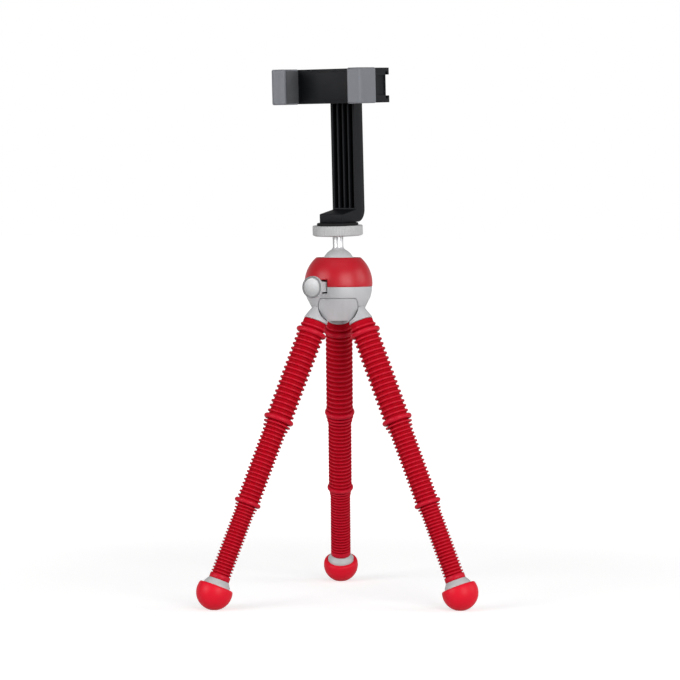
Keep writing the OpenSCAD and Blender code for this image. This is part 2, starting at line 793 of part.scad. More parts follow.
module wheel_pad() {
    edge = 0.4;
    color(BLACK) at_head() translate([0, 0, wheel_top_z]) rotate_extrude() polygon([[stem_d / 2 + run_fit, 0],
        [wheel_pad_d / 2, 0], [wheel_pad_d / 2, wheel_pad_t - edge], [wheel_pad_d / 2 - edge, wheel_pad_t],
        [stem_d / 2 + run_fit, wheel_pad_t]]);
}

// Front and back faces of the arm at its foot, counted from the camera screw along Y
arm_front_y = bracket_back - arm_t;
arm_back = 2.2;
arm_head_r = bracket_w / 2;
channel_top_z = pivot_z - arm_head_r - 2;

// Side outline of the bracket: a foot that slopes to its tip and an arm that narrows upwards
module bracket_side() {
    difference() {
        polygon([[-bracket_front, 0], [bracket_back, 0], [bracket_back - arm_taper, pivot_rise + arm_head_r],
            [arm_front_y, pivot_rise + arm_head_r], [arm_front_y, bracket_foot_h],
            [-bracket_front, bracket_tip_h]]);
        difference() {
            translate([bracket_back - bracket_round, -over])
                square([bracket_round + over, bracket_round + over]);
            translate([bracket_back - bracket_round, bracket_round]) circle(r = bracket_round);
        }
    }
}

// Front outline of the arm, with a round head at the pivot
module bracket_front_outline() {
    translate([-bracket_w / 2, 0]) square([bracket_w, pivot_rise]);
    translate([0, pivot_rise]) circle(r = arm_head_r);
}

// Plan of the foot, with round front corners
module bracket_plan() {
    corner = 1.2;
    depth = bracket_front + bracket_back;
    translate([-bracket_w / 2, corner - bracket_front]) square([bracket_w, depth - corner]);
    translate([corner - bracket_w / 2, -bracket_front]) square([bracket_w - 2 * corner, corner]);
    for (side = [-1, 1])
        translate([side * (bracket_w / 2 - corner), corner - bracket_front]) circle(r = corner);
}

module arm_grooves() {
    groove_w = (bracket_w - 2 * arm_wall - arm_ribs * arm_rib_t) / (arm_ribs + 1);
    low_z = bracket_z + bracket_foot_h + over;
    for (i = [0:arm_ribs])
        translate([-bracket_w / 2 + arm_wall + i * (groove_w + arm_rib_t), arm_front_y - over, low_z])
            cube([groove_w, arm_t - arm_back - arm_taper + over, channel_top_z - low_z]);
}

module bracket() {
    color(BLACK) at_head() difference() {
        intersection() {
            translate([-bracket_w / 2, 0, bracket_z]) rotate([90, 0, 90])
                linear_extrude(bracket_w) bracket_side();
            translate([0, bracket_back + over, bracket_z]) rotate([90, 0, 0])
                linear_extrude(bracket_front + bracket_back + 2 * over) bracket_front_outline();
            translate([0, 0, bracket_z - over]) linear_extrude(2 * pivot_rise) bracket_plan();
        }
        arm_grooves();
        translate([0, 0, bracket_z - over])
            cylinder(d = camera_screw_d + 2 * run_fit, h = camera_screw_l + 2 * over);
        pivot_cylinder(pivot_d / 2 + seat_fit, -over, bracket_back + over);
        pivot_cylinder(pivot_head_d / 2 + seat_fit, pivot_head_y, bracket_back + over);
    }
}

// Phone clamp. Y runs back, so the plate's front face lies at -plate_y.
clamp_back_y = arm_front_y - clamp_gap;
plate_y = clamp_back_y - clamp_t;
jaw_tip_y = plate_y - jaw_depth;
gap_left_x = jaw_offset - jaw_gap / 2;
gap_right_x = jaw_offset + jaw_gap / 2;
clamp_low_z = pivot_z - clamp_h / 2;
clamp_left_x = gap_left_x - slide_gap;
clamp_right_x = gap_right_x + jaw_w;
lip_y = clamp_back_y - 1.8;
rail_y = lip_y - slide_gap;
rail_z = clamp_h / 2 - clamp_wall - slide_gap - rail_h;
pivot_head_d = 10;
pivot_head_y = bracket_back - arm_taper - 2.4;
pivot_front_y = plate_y + plate_t + 1.4;

// Cylinder along the pivot's axis from one Y to another
module pivot_cylinder(r, y_from, y_to) {
    translate([0, y_to, pivot_z]) rotate([90, 0, 0]) cylinder(r = r, h = y_to - y_from);
}

module clamp_pivot() {
    color(STEEL) at_head() {
        pivot_cylinder(pivot_d / 2, pivot_front_y, pivot_head_y + seat_fit);
        pivot_cylinder(pivot_head_d / 2, pivot_head_y + seat_fit, pivot_head_y + 1.8);
    }
}

// Section of the clamp's body: a channel that is open at the back, with a lip on each edge
module channel_side() {
    half = clamp_h / 2;
    lip_h = clamp_wall + 2;
    for (side = [-1, 1]) {
        translate([plate_y, side > 0 ? half - clamp_wall : -half]) square([clamp_t, clamp_wall]);
        translate([lip_y, side > 0 ? half - lip_h : -half]) square([clamp_back_y - lip_y, lip_h]);
    }
    translate([plate_y, -half]) square([plate_t, clamp_h]);
}

// Block between two X, two Y and the clamp's full height less a margin
module clamp_block(x_from, x_to, y_from, y_to, margin = 0) {
    translate([x_from, y_from, clamp_low_z + margin])
        cube([x_to - x_from, y_to - y_from, clamp_h - 2 * margin]);
}

module clamp_body() {
    end_t = 2;
    ear_l = 4.2;
    end_y = clamp_back_y - ear_l;
    pocket_h = 0.56 * clamp_h;
    pocket_d = 0.6 * clamp_t;
    land_t = 0.5;
    land_margin = 3;
    color(BLACK) at_head() difference() {
        union() {
            translate([clamp_left_x, 0, pivot_z]) rotate([90, 0, 90])
                linear_extrude(clamp_right_x - clamp_left_x) channel_side();
            clamp_block(clamp_right_x - end_t, clamp_right_x, plate_y, end_y);
            clamp_block(gap_right_x + pad_t, clamp_right_x - pad_t, jaw_tip_y + pad_t, plate_y + over);
            clamp_block(gap_left_x + land_margin, gap_right_x - land_margin, plate_y - land_t, plate_y + over,
                land_margin / 2);
            pivot_cylinder(pivot_boss_d / 2, plate_y + over, clamp_back_y);
        }
        pivot_cylinder(pivot_d / 2 + run_fit, pivot_front_y - 0.3, clamp_back_y + over);
        translate([clamp_right_x - end_t / 2, end_y - pocket_d - over, pivot_z - pocket_h / 2])
            cube([end_t, pocket_d, pocket_h]);
    }
}

// Plan of a jaw pad round its core, for a jaw whose inner face looks along +X
module pad_plan() {
    round_r = 2.4;
    lip_r = lip + 0.6;
    core_w = jaw_w - 2 * pad_t + 2 * seat_fit;
    difference() {
        union() {
            translate([-jaw_w, round_r - jaw_depth]) square([jaw_w, jaw_depth - round_r]);
            translate([round_r - jaw_w, -jaw_depth]) square([jaw_w - round_r, round_r]);
            translate([round_r - jaw_w, round_r - jaw_depth]) circle(r = round_r);
            translate([lip - lip_r, lip_r - jaw_depth]) circle(r = lip_r);
        }
        translate([-pad_t - core_w + seat_fit, pad_t - jaw_depth - seat_fit]) square([core_w, jaw_depth]);
    }
}

module fixed_pad() {
    color(PAD) at_head() translate([gap_right_x, plate_y - seat_fit, clamp_low_z - pad_over]) mirror([1, 0, 0])
        linear_extrude(clamp_h + 2 * pad_over) pad_plan();
}

module sliding_pad() {
    color(PAD) at_head() translate([gap_left_x, plate_y - seat_fit, clamp_low_z - pad_over])
        linear_extrude(clamp_h + 2 * pad_over) pad_plan();
}

// Jaw with two rails that run above and below the pivot's boss
module sliding_jaw() {
    left_x = gap_left_x - jaw_w;
    rail_end_x = clamp_right_x - 2 - over;
    color(BLACK) at_head() {
        clamp_block(left_x, gap_left_x - 2 * slide_gap, plate_y, clamp_back_y);
        clamp_block(left_x + pad_t, gap_left_x - pad_t, jaw_tip_y + pad_t, plate_y + over);
        for (side = [-1, 1]) translate([left_x + over, plate_y + plate_t + slide_gap,
                pivot_z + (side > 0 ? rail_z : -rail_z - rail_h)])
            cube([rail_end_x - left_x - over, rail_y - plate_y - plate_t - slide_gap, rail_h]);
    }
}

// Jaw spring: one wire wound in a helix between the pivot's boss and the sliding jaw
spring_x_from = gap_left_x - 2 * slide_gap + spring_wire / 2 + 0.1;
spring_x_to = -pivot_boss_d / 2 - spring_wire / 2 - 0.3;
spring_y = (plate_y + plate_t + rail_y) / 2;
spring_r = (spring_d - spring_wire) / 2;
spring_steps = 8;
spring_sides = 6;
spring_rings = spring_turns * spring_steps;
spring_pitch = (spring_x_to - spring_x_from) / spring_turns;

function spring_point(i) = [spring_x_from + i * spring_pitch / spring_steps,
    spring_y + spring_r * cos(i * 360 / spring_steps), pivot_z + spring_r * sin(i * 360 / spring_steps)];
function spring_ring(i) = [for (k = [0:spring_sides - 1])
    let (a = i * 360 / spring_steps, b = k * 360 / spring_sides, out = spring_wire / 2 * cos(b))
    spring_point(i) + [spring_wire / 2 * sin(b), out * cos(a), out * sin(a)]];

module jaw_spring() {
    points = [for (i = [0:spring_rings]) each spring_ring(i)];
    last = spring_rings * spring_sides;
    sides = [for (i = [0:spring_rings - 1]) for (k = [0:spring_sides - 1])
        let (a = i * spring_sides + k, b = i * spring_sides + (k + 1) % spring_sides)
        each [[a, a + spring_sides, b], [b, a + spring_sides, b + spring_sides]]];
    caps = [for (k = [1:spring_sides - 2]) each [[0, k, k + 1], [last, last + k + 1, last + k]]];
    echo(spring_gap = min([for (i = [0:spring_steps]) norm(spring_point(i + spring_steps) - spring_point(i))])
        - spring_wire);
    color(STEEL) at_head() polyhedron(points, concat(sides, caps));
}

// Nodes

leg_yoke();
hub_panels();
ball_cup();
dome();
retaining_ring();
ball_seat();
ball_stud();
lock_knob();
lock_screw();
camera_wheel();
wheel_pad();
bracket();
clamp_pivot();
clamp_body();
fixed_pad();
sliding_jaw();
sliding_pad();
jaw_spring();
for (leg = [0:2]) {
    for (piece = LEG_PIECES)
        at_leg(AZIMUTHS[leg]) leg_piece(piece);
    foot(AZIMUTHS[leg]);
}
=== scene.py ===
# %% [markdown]
# # A tabletop tripod with flexible legs
# The solids of this tripod were built to size elsewhere and packed as one model. This lesson loads that
# model as a fixed frame and dresses it: rubber skins on the legs, softened edges, materials made from nodes,
# and plain studio light. The scene is in metres, in the frame of the imported model. Small sizes are written
# in millimetres and multiplied by MM.

# %% Load the imported frame
import json
import math

import bpy
import numpy as np
from mathutils import Matrix, Vector

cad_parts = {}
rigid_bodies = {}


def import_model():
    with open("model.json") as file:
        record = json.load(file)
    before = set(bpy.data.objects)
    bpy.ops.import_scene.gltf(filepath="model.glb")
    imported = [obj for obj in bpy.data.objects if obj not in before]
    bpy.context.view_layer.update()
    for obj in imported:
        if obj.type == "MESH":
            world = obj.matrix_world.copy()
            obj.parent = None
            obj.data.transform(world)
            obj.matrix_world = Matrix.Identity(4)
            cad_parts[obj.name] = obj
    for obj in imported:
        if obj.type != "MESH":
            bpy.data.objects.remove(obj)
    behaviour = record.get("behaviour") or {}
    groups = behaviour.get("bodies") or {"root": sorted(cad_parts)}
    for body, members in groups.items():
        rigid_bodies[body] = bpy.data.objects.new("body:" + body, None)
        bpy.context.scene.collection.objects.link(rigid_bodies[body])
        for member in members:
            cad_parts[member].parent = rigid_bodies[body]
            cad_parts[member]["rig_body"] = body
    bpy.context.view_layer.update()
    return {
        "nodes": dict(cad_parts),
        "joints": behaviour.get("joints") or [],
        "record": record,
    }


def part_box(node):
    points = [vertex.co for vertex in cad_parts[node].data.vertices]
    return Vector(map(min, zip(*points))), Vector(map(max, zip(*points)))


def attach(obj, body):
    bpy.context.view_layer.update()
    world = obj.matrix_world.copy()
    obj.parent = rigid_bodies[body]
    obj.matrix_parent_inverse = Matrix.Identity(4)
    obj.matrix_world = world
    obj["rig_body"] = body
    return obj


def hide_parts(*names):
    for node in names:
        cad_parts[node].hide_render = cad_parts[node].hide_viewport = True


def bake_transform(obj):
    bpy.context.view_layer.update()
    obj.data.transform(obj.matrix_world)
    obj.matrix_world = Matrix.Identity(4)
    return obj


MM = 0.001
MICRON = 1e-6
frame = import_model()
joint_at = {j["name"]: Vector(j["pos_m"]) for j in frame["joints"]}
head_up = next(Vector(j["axis"]) for j in frame["joints"] if j["name"] == "holder_turn")
hub = joint_at["pan"].copy()

# %% [markdown]
# ## Shader maths that reads like arithmetic
# A material is a graph of nodes. Wiring dozens of them by hand hides the idea, so one small class wraps an
# output socket. Adding or multiplying two wrapped sockets adds the Math node that does it, and one method
# adds every other kind of node from its type, its settings and its inputs.

# %% A wire that can be added and multiplied
# A Mix node has sockets of the same name for each kind of data, so the ones for colours go by number
MIX_FACTOR, MIX_LOW, MIX_HIGH, MIX_RESULT = 0, 6, 7, 2


class Wire:
    """An output socket of a node tree, on which arithmetic adds Math nodes."""

    def __init__(self, tree, socket):
        self.tree = tree
        self.socket = socket

    def add(self, kind, settings=None, sockets=None, out=0):
        """Adds a node of any kind and returns a wire from one of its outputs, by name or number."""
        node = self.tree.nodes.new(kind)
        for key, value in (settings or {}).items():
            setattr(node, key, value)
        for key, value in (sockets or {}).items():
            if isinstance(value, Wire):
                self.tree.links.new(value.socket, node.inputs[key])
            else:
                node.inputs[key].default_value = value
        return Wire(self.tree, node.outputs[out]) if node.outputs else None

    def math(self, operation, first, second):
        return self.add("ShaderNodeMath", {"operation": operation}, {0: first, 1: second})

    def __add__(self, other):
        return self.math("ADD", self, other)

    def __radd__(self, other):
        return self.math("ADD", other, self)

    def __sub__(self, other):
        return self.math("SUBTRACT", self, other)

    def __rsub__(self, other):
        return self.math("SUBTRACT", other, self)

    def __mul__(self, other):
        return self.math("MULTIPLY", self, other)

    def __rmul__(self, other):
        return self.math("MULTIPLY", other, self)

    def __abs__(self):
        return self.math("ABSOLUTE", self, 0.0)

    def swing(self, amount):
        """Turns values from 0 to 1 into a swing round 0, of that amount from end to end."""
        return (self - 0.5) * amount

    def step(self, low, high):
        """0 below low, 1 above high, and smooth between them."""
        return self.add("ShaderNodeMapRange", {"interpolation_type": "SMOOTHSTEP"},
                        {"Value": self, "From Min": low, "From Max": high})

    def noise(self, scale, detail=3.0, roughness=0.5, stretch=(1, 1, 1)):
        """Cloudy values from 0 to 1 where self is a place on the surface."""
        place = self.add("ShaderNodeMapping", None, {"Vector": self, "Scale": stretch})
        return self.add("ShaderNodeTexNoise", None, {"Vector": place, "Scale": scale, "Detail": detail,
                                                     "Roughness": roughness})

    def mix(self, low, high):
        """The colour low where self is 0 and the colour high where it is 1."""
        low, high = (c if isinstance(c, Wire) else (*c, 1.0) for c in (low, high))
        return self.add("ShaderNodeMix", {"data_type": "RGBA"},
                        {MIX_FACTOR: self, MIX_LOW: low, MIX_HIGH: high}, out=MIX_RESULT)


print("wires ready")


# %% A new material and its colours
def start_material(name):
    """A new material, the place of the shaded point on its object, and a function that plugs wires in."""
    material = bpy.data.materials.new(name)
    material.use_nodes = True
    tree = material.node_tree
    surface = next(n for n in tree.nodes if n.type == "BSDF_PRINCIPLED")
    place = Wire(tree, None).add("ShaderNodeTexCoord", out="Object")

    def plug(**values):
        for key, value in values.items():
            socket = surface.inputs[key.replace("_", " ")]
            if isinstance(value, Wire):
                tree.links.new(value.socket, socket)
            else:
                socket.default_value = value

    return material, place, plug


def tone(colour, factor):
    """A colour made darker or lighter by a factor."""
    return tuple(min(1.0, c * factor) for c in colour)


print("material helpers ready")

# %% [markdown]
# ## Moulded plastic
# Injection moulded parts are never one flat colour. The mould's fine spark grain roughens the skin, melt
# flow leaves broad faint clouds, handling leaves slightly shinier smears, and a little dust settles. Painted
# images could show this, but noise needs no file and no unwrapping. Four noises of very different size are
# enough: clouds and dust in the colour, smears in the roughness, and grain in the roughness and the bump.

# %% Moulded plastics and rubbers
CLOUD_SCALE, SMEAR_SCALE, DUST_SCALE = 55, 160, 900
SMEAR_STRETCH = (1, 1, 0.35)
DUST_FROM, DUST_FULL, DUST_SHARE, DUST_TONE = 0.66, 0.8, 0.25, 1.25
GRAIN_DEPTH = 0.2 * MM


def moulded(name, colour, rough, grain, depth, cloud=0.06, shine=0.5):
    """Plastic or rubber with a grain of that scale and depth, and clouds of that share in its colour."""
    material, place, plug = start_material(name)
    clouds = place.noise(CLOUD_SCALE, detail=4)
    smears = place.noise(SMEAR_SCALE, roughness=0.6, stretch=SMEAR_STRETCH)
    fine = place.noise(grain, detail=2, roughness=0.6)
    dust = place.noise(DUST_SCALE, detail=2).step(DUST_FROM, DUST_FULL)
    body = clouds.mix(tone(colour, 1 - cloud), tone(colour, 1 + cloud))
    bump = place.add("ShaderNodeBump", None, {"Strength": depth, "Distance": GRAIN_DEPTH, "Height": fine})
    plug(Base_Color=(dust * DUST_SHARE).mix(body, tone(colour, DUST_TONE)), Normal=bump,
         Specular_IOR_Level=shine, Roughness=rough + smears.swing(0.16) + fine.swing(0.08))
    return material


RED = (0.485, 0.0045, 0.015)
finishes = {
    "red_shell": moulded("satin red shell", RED, rough=0.36, grain=2600, depth=0.05, cloud=0.04, shine=0.4),
    "hub_grey": moulded("silver grey shell", (0.5, 0.5, 0.515), rough=0.38, grain=2400, depth=0.08,
                        cloud=0.03),
    "pale_grey": moulded("pale grey plastic", (0.5, 0.5, 0.505), rough=0.42, grain=2400, depth=0.08),
    "black_plastic": moulded("black grained plastic", (0.0045, 0.005, 0.0066), rough=0.5, grain=1500,
                             depth=0.32, cloud=0.2, shine=0.14),
    "core_plastic": moulded("dark core plastic", (0.03, 0.03, 0.033), rough=0.5, grain=1500, depth=0.2),
    "grey_rubber": moulded("soft grey jaw pad", (0.168, 0.175, 0.195), rough=0.5, grain=1900, depth=0.25,
                           cloud=0.08, shine=0.3),
    "bezel_grey": moulded("grey bezel", (0.22, 0.22, 0.225), rough=0.45, grain=2400, depth=0.08, shine=0.3),
    "liner_rubber": moulded("dark grey jaw liner", (0.075, 0.077, 0.082), rough=0.6, grain=1700, depth=0.3,
                            cloud=0.1, shine=0.25),
    "black_rubber": moulded("black rubber disc", (0.009, 0.009, 0.0095), rough=0.7, grain=1300, depth=0.4,
                            cloud=0.15, shine=0.2),
}
print("moulded finishes:", ", ".join(finishes))

# %% [markdown]
# ## Turned metal
# The ball's stem, the lock screw's face and the camera wheel are cut on a lathe, whose tool leaves fine
# rings round the axis. An anisotropic highlight could stand for them, but rings in the colour, the roughness
# and the bump also show from close by. Noise that is squeezed along the axis gives such rings on the stem
# and the wheel. On the flat face it is squeezed across instead, for a fine even grain. A second noise
# mottles the tone, as wear does. The ball wears a satin coat, so its metal value is low, and the wheel's is
# zero.

# %% Turned metals
RING_SCALE, BLOTCH_SCALE, MOTTLE_SCALE = 420, 90, 650
RING_SHARE, WORN_DARK, WORN_LIGHT = 0.45, 0.72, 1.22
RING_STRENGTH, RING_DEPTH = 0.12, 0.1 * MM
COAT_METAL = 0.3


def turned(name, colour, rough, squeeze, metal=1.0, coated_below=None):
    """Metal from a lathe. Below the height coated_below, in metres, it wears a satin coat."""
    material, place, plug = start_material(name)
    rings = place.noise(RING_SCALE, detail=2, stretch=squeeze)
    if coated_below:
        height = place.add("ShaderNodeSeparateXYZ", None, {"Vector": place}, out="Z")
        metal = COAT_METAL + height.step(coated_below, coated_below + MM) * (1 - COAT_METAL)
    blotch = place.noise(BLOTCH_SCALE)
    mottle = place.noise(MOTTLE_SCALE, detail=4, roughness=0.65)
    worn = rings * RING_SHARE + mottle * (1 - RING_SHARE)
    bump = place.add("ShaderNodeBump", None, {"Strength": RING_STRENGTH, "Distance": RING_DEPTH,
                                              "Height": rings})
    plug(Base_Color=worn.mix(tone(colour, WORN_DARK), tone(colour, WORN_LIGHT)), Metallic=metal,
         Normal=bump, Roughness=rough + rings.swing(0.14) + blotch.swing(0.1))
    return material


STEEL = (0.66, 0.66, 0.67)
COAT_TOP = hub.z + 10 * MM
finishes["bright_steel"] = turned("satin turned steel", STEEL, rough=0.4, squeeze=(0.2, 0.2, 5),
                                  coated_below=COAT_TOP)
finishes["satin_metal"] = turned("satin spun metal", (0.36, 0.36, 0.365), rough=0.45, squeeze=(5, 0.2, 5))
finishes["turned_grey"] = turned("turned grey wheel", (0.46, 0.46, 0.463), rough=0.45,
                                 squeeze=(0.05, 0.05, 8), metal=0.0)
print("turned finishes ready")

# %% [markdown]
# ## Red rubber skin
# The legs wear a soft red rubber. Its colour is painted darker down in the grooves, as painted shade, and
# lighter and bluer on the rib tips, as a painted sheen. Dust settles in the grooves, the two halves of the
# mould leave a fine line down each side, and handling polishes the rib tips, which get a thin gloss coat. The
# feet wear such a coat all over. Lines and grooves that are placed in space would stay behind when a leg
# bends, so the skin pieces carry two values on their points: how far round the leg a point lies, and how far
# up its rib.

# %% Rubber for the legs and the feet
# the rib tips' colour: the rubber's red, made lighter and bluer by a painted sheen
TIP_RED_AND_SHEEN = (0.57, 0.005, 0.024)
# painted shade: the darker red of the grooves stands for the shade down in them
GROOVE_SHADE_RED = (0.41, 0.0012, 0.008)
GROOVE_DUST = (0.3, 0.04, 0.045)
FOOT_RED = (0.78, 0.006, 0.026)
RUBBER_DARK, RUBBER_LIGHT = 0.93, 1.06
RUBBER_ROUGH, RUBBER_SHINE, RUBBER_BUMP = 0.43, 0.03, 0.14
FOOT_COAT, SMEAR_COAT, TIP_COAT, COAT_ROUGH = 0.32, 0.06, 0.3, 0.4
FINE_HEIGHT, SEAM_HEIGHT = 0.3, 0.6
DUST_TINT, SEAM_TINT = 0.05, 0.25
DUST_ROUGH, TIP_POLISH = 0.15, 0.05


def red_rubber(name, colour, ribbed):
    material, place, plug = start_material(name)
    clouds = place.noise(scale=70, detail=4)
    smears = place.noise(scale=240, roughness=0.6)
    fine = place.noise(scale=3200, detail=2, roughness=0.6)
    body = clouds.mix(tone(colour, RUBBER_DARK), tone(colour, RUBBER_LIGHT))
    height = fine * FINE_HEIGHT
    rough = RUBBER_ROUGH + smears.swing(0.18) + fine.swing(0.06)
    coat = FOOT_COAT + smears * SMEAR_COAT
    if ribbed:
        side = place.add("ShaderNodeAttribute", {"attribute_name": "side"}, out="Fac")
        lift = place.add("ShaderNodeAttribute", {"attribute_name": "lift"}, out="Fac")
        seam = 1 - abs(side).step(0.02, 0.05)
        groove_shade = 1 - lift.step(0.1, 0.95)
        dusty = (1 - lift.step(0.05, 0.6)) * place.noise(scale=500).step(0.35, 0.7)
        # painted shade: towards the floor of a groove the colour turns to the darker groove red
        body = groove_shade.mix(body, GROOVE_SHADE_RED)
        body = (dusty * DUST_TINT).mix(body, GROOVE_DUST)
        body = (seam * SEAM_TINT).mix(body, GROOVE_SHADE_RED)
        height = height + seam * SEAM_HEIGHT
        rough = rough + dusty * DUST_ROUGH - lift.step(0.8, 1.0) * TIP_POLISH
        coat = lift.step(0.55, 1.0) * TIP_COAT
    bump = place.add("ShaderNodeBump", None, {"Strength": RUBBER_BUMP, "Distance": GRAIN_DEPTH,
                                              "Height": height})
    plug(Base_Color=body, Roughness=rough, Normal=bump, Specular_IOR_Level=RUBBER_SHINE, Coat_Weight=coat,
         Coat_Roughness=COAT_ROUGH)
    return material


finishes["red_rubber"] = red_rubber("red rubber", FOOT_RED, ribbed=False)
finishes["red_skin"] = red_rubber("red ribbed rubber", TIP_RED_AND_SHEEN, ribbed=True)
print("rubber finishes ready")

# %% [markdown]
# ## A lathe for round pieces
# The leg skins, feet and rings are bodies of revolution. By hand they are drawn as a half outline and spun
# round an axis: a plane is merged to one point, the point is extruded along the outline, and Spin turns the
# line into a surface. A Screw modifier could turn it too, but in edit mode the seam is merged straight away.
# Working in the leg's own frame, with the hip joint at the origin and the leg hanging down, keeps the
# outline a plain list of radius and depth.


# %% The lathe
def alone(obj):
    bpy.ops.object.select_all(action="DESELECT")
    obj.select_set(True)
    bpy.context.view_layer.objects.active = obj


def on_lathe(name, outline, steps):
    """Spins an outline of (radius, depth) points, in millimetres, round Z. The depth runs down."""
    points = [Vector((r * MM, 0, -s * MM)) for r, s in outline]
    bpy.ops.object.select_all(action="DESELECT")
    bpy.ops.mesh.primitive_plane_add(size=MM, location=(0, 0, 0))
    obj = bpy.context.object
    obj.name = name
    bpy.ops.object.mode_set(mode="EDIT")
    bpy.ops.mesh.select_mode(type="VERT")
    bpy.ops.mesh.merge(type="CENTER")
    bpy.ops.transform.translate(value=points[0])
    for before, after in zip(points, points[1:]):
        bpy.ops.mesh.extrude_region_move(TRANSFORM_OT_translate={"value": after - before})
    bpy.ops.mesh.select_all(action="SELECT")
    bpy.ops.mesh.spin(steps=steps, angle=math.tau, center=(0, 0, 0), axis=(0, 0, 1))
    bpy.ops.mesh.select_all(action="SELECT")
    bpy.ops.mesh.remove_doubles(threshold=MICRON)
    bpy.ops.mesh.normals_make_consistent(inside=False)
    bpy.ops.object.mode_set(mode="OBJECT")
    return obj


print("lathe ready")


# %% The way a finished piece joins the frame
def smooth(obj, degrees):
    alone(obj)
    bpy.ops.object.shade_smooth_by_angle(angle=math.radians(degrees))


def dress(obj, finish):
    obj.data.materials.clear()
    obj.data.materials.append(finishes[finish])


def turn(obj, matrix):
    """Moves and turns a piece, and leaves its object at the origin."""
    alone(obj)
    obj.matrix_world = matrix
    bpy.ops.object.transform_apply(location=True, rotation=True, scale=True)


def copy_to(master, name, place):
    obj = bpy.data.objects.new(name, master.data.copy())
    bpy.context.scene.collection.objects.link(obj)
    turn(obj, place)
    return obj


def leg_frame(leg):
    """Places the hip joint at the origin of a leg's own frame, with the leg hanging down -Z."""
    hip = joint_at[leg + "_splay"]
    up = (hip - joint_at[leg + "_mid_bend"]).normalized()
    out = Vector((hip.x - hub.x, hip.y - hub.y, 0)).normalized()
    tangent = Vector((0, 0, 1)).cross(out)
    front = tangent.cross(up)
    axes = Matrix((front, tangent, up)).transposed().to_4x4()
    return Matrix.Translation(hip) @ axes


LEGS = ("left", "right", "back")
print("pieces can join", len(LEGS), "legs, hub axis at x =", round(hub.x, 4))

# %% [markdown]
# ## Outlines of the ribbed skins
# Each leg has a soft cuff under its shoulder and three ribbed skins, one under the other: coarse ribs at the
# top, finer ones below, with a bead or a collar where they meet. A rib is drawn as two straight flanks and a
# round tip, and the groove floor between two ribs is a short straight line with soft corners. A bump in the
# material could suggest ribs, but their outline against the light would stay smooth. The counts, pitches and
# diameters of the ribs are the solids' own, and the cuff has a small rib of its own.

# %% Sizes of the skins, in millimetres
CUFF_TOP, CUFF_R, CUFF_IN, WAIST_R = -1.0, 7.5, 6.2, 7.0
CUFF_RIB = dict(at=3.0, width=1.6, radius=8.4)
CUFF = dict(radius=CUFF_RIB["radius"], depth=CUFF_RIB["radius"] - WAIST_R)
BEAD_TOP, BEAD_W, BEAD_R = 5.0, 3.2, 9.8
BEAD = dict(at=BEAD_TOP + BEAD_W / 2, width=BEAD_W, radius=BEAD_R)
LEAD = 0.65
UPPER = dict(ribs=17, pitch=3.235, width=1.4, radius=8.8, depth=1.45, fade=0.0)
MIDDLE = dict(ribs=20, pitch=2.62, width=1.15, radius=7.7, depth=1.3, fade=0.6)
LOWER = dict(ribs=22, pitch=2.1, width=0.95, radius=6.65, depth=1.15, fade=0.35)
COLLAR_1 = dict(width=3.2, radius=9.75)
COLLAR_2 = dict(width=2.8, radius=8.6)
BAND, BAND_R, BAND_IN = 3.2, 6.6, 4.4


def run_end(skin):
    """The depth where a run of ribs ends, LEAD of a pitch past the middle of its last rib."""
    return skin["first"] + (skin["ribs"] - 1 + LEAD) * skin["pitch"]


def lower_side(collar):
    return collar["at"] + collar["width"] / 2


UPPER["first"] = BEAD_TOP + BEAD_W + LEAD * UPPER["pitch"]
COLLAR_1["at"] = run_end(UPPER) + COLLAR_1["width"] / 2
MIDDLE["first"] = lower_side(COLLAR_1) + LEAD * MIDDLE["pitch"]
COLLAR_2["at"] = run_end(MIDDLE) + COLLAR_2["width"] / 2
LOWER["first"] = lower_side(COLLAR_2) + LEAD * LOWER["pitch"]
BAND_AT = run_end(LOWER)
BAND_END = BAND_AT + BAND
print("leg length to the band's end:", round(BAND_END, 2), "mm")

# %% Ribs, collars and ends as stretches of outline
CORNER, CORNER_SHARE = 0.22, 0.18
RIB_POINTS, BEAD_POINTS = 5, 9
FADE_RIBS = 2
LAP, TUCK_IN, TUCK_UP = 0.1, 0.6, 0.4


def bump_out(at, width, radius, floor, tip_points=RIB_POINTS):
    """Outline of one rib or bead that stands on a floor radius, with a round tip."""
    half = width / 2
    corner = min(CORNER, width * CORNER_SHARE)
    line = [(floor, at - half - corner), (floor + corner, at - half)]
    for i in range(tip_points + 1):
        angle = -math.pi / 2 + math.pi * i / tip_points
        line.append((radius - half + half * math.cos(angle), at + half * math.sin(angle)))
    return line + [(floor + corner, at + half), (floor, at + half + corner)]


def floor_of(skin):
    return skin["radius"] - skin["depth"]


def rib_run(skin):
    """All the ribs of a skin. The first ones may be larger and fade to the radius of the rest."""
    line = []
    for i in range(skin["ribs"]):
        radius = skin["radius"] + max(0, FADE_RIBS - i) * skin["fade"]
        line += bump_out(skin["first"] + i * skin["pitch"], skin["width"], radius, floor_of(skin))
    return line


def tucked_start(skin, collar):
    """The top end of a skin, tucked in under the collar above it."""
    return [(floor_of(skin) - TUCK_IN, lower_side(collar) - TUCK_UP), (floor_of(skin), lower_side(collar))]


def collar_end(skin, collar, skin_below):
    """The collar at the end of a skin, which laps onto the skin below."""
    line = bump_out(**collar, floor=floor_of(skin), tip_points=BEAD_POINTS)[:-2]
    return line + [(floor_of(skin_below), lower_side(collar) + LAP)]


print("one rib takes", len(bump_out(**CUFF_RIB, floor=CUFF_R)), "points")

